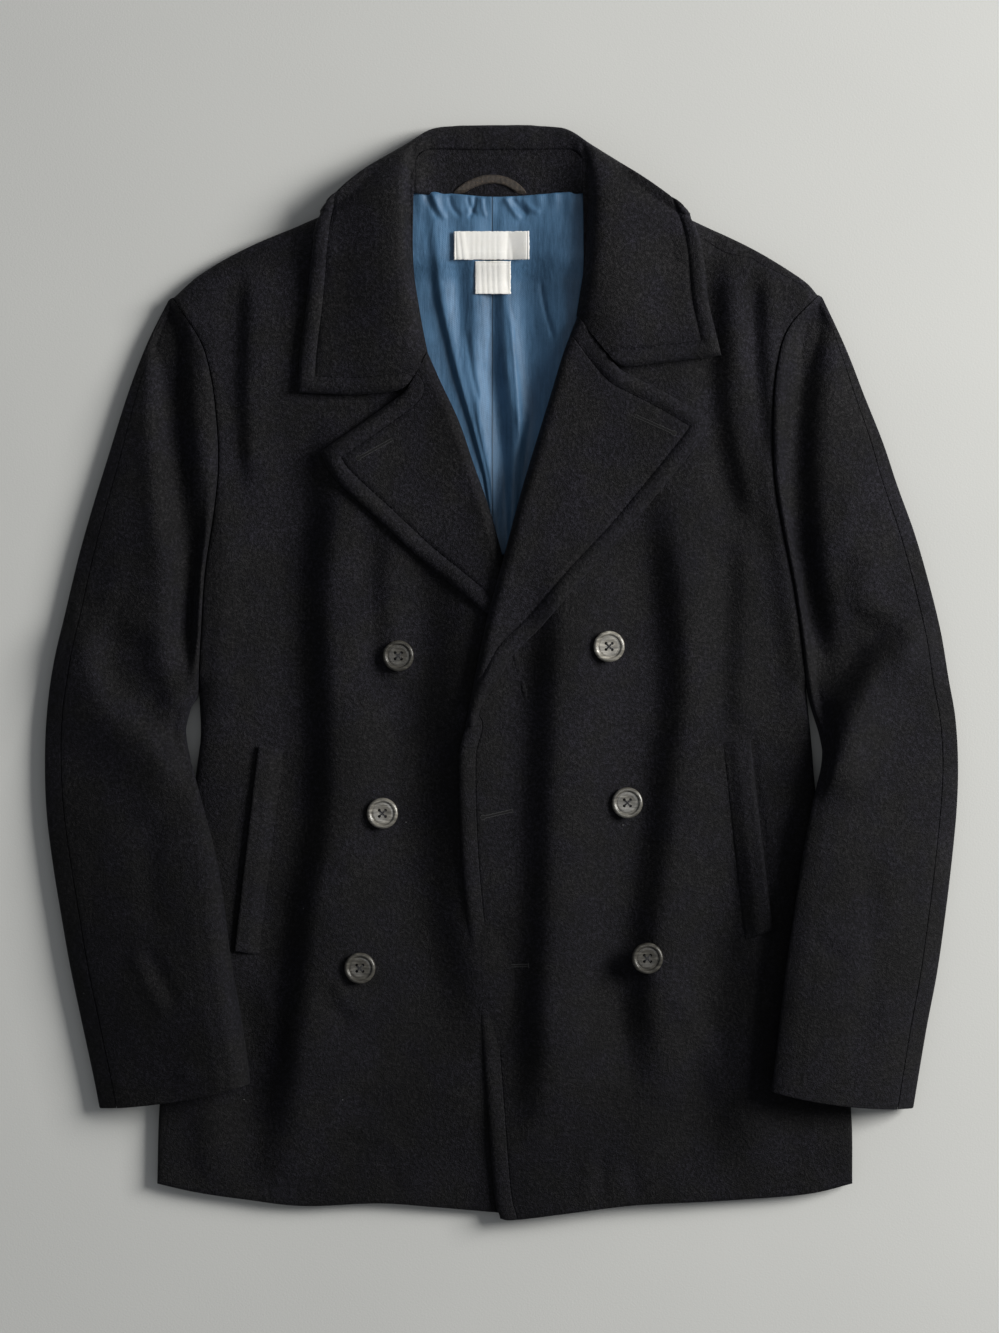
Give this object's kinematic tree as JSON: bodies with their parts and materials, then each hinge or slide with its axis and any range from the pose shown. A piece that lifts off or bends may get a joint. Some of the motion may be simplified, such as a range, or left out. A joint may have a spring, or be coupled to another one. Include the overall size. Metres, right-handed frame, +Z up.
{
  "type": "pea coat",
  "caption": "Double-breasted navy wool pea coat laid flat on its back, collar and lapels turned down, sleeves at its sides.",
  "frame": {"origin": "middle of the coat's bounding box, on the surface that it lies on", "axes": "+Y from hem to collar, +Z up from the surface, +X towards the wearer's left sleeve"},
  "size_m": [0.692, 0.8272, 0.0357],
  "materials": {
    "wool": "felted melton wool with a soft nap, dark navy",
    "lining": "smooth satin, steel blue",
    "horn": "polished, dark grey-brown horn look",
    "tape": "woven tape, brown-grey",
    "label": "woven satin label, off-white, bare"
  },
  "bodies": {
    "root": {"back": "wool", "lining": "lining", "front_right": "wool", "front_left": "wool", "lapel_right": "wool", "lapel_left": "wool", "collar": "wool", "collar_stand": "wool", "upper_sleeve_right": "wool", "under_sleeve_right": "wool", "upper_sleeve_left": "wool", "under_sleeve_left": "wool", "pocket_welt_right": "wool", "pocket_welt_left": "wool", "button_right_1": "horn", "button_right_2": "horn", "button_right_3": "horn", "button_left_1": "horn", "button_left_2": "horn", "button_left_3": "horn", "hanger_loop": "tape", "label": "label", "care_label": "label"}
  },
  "joints": []
}
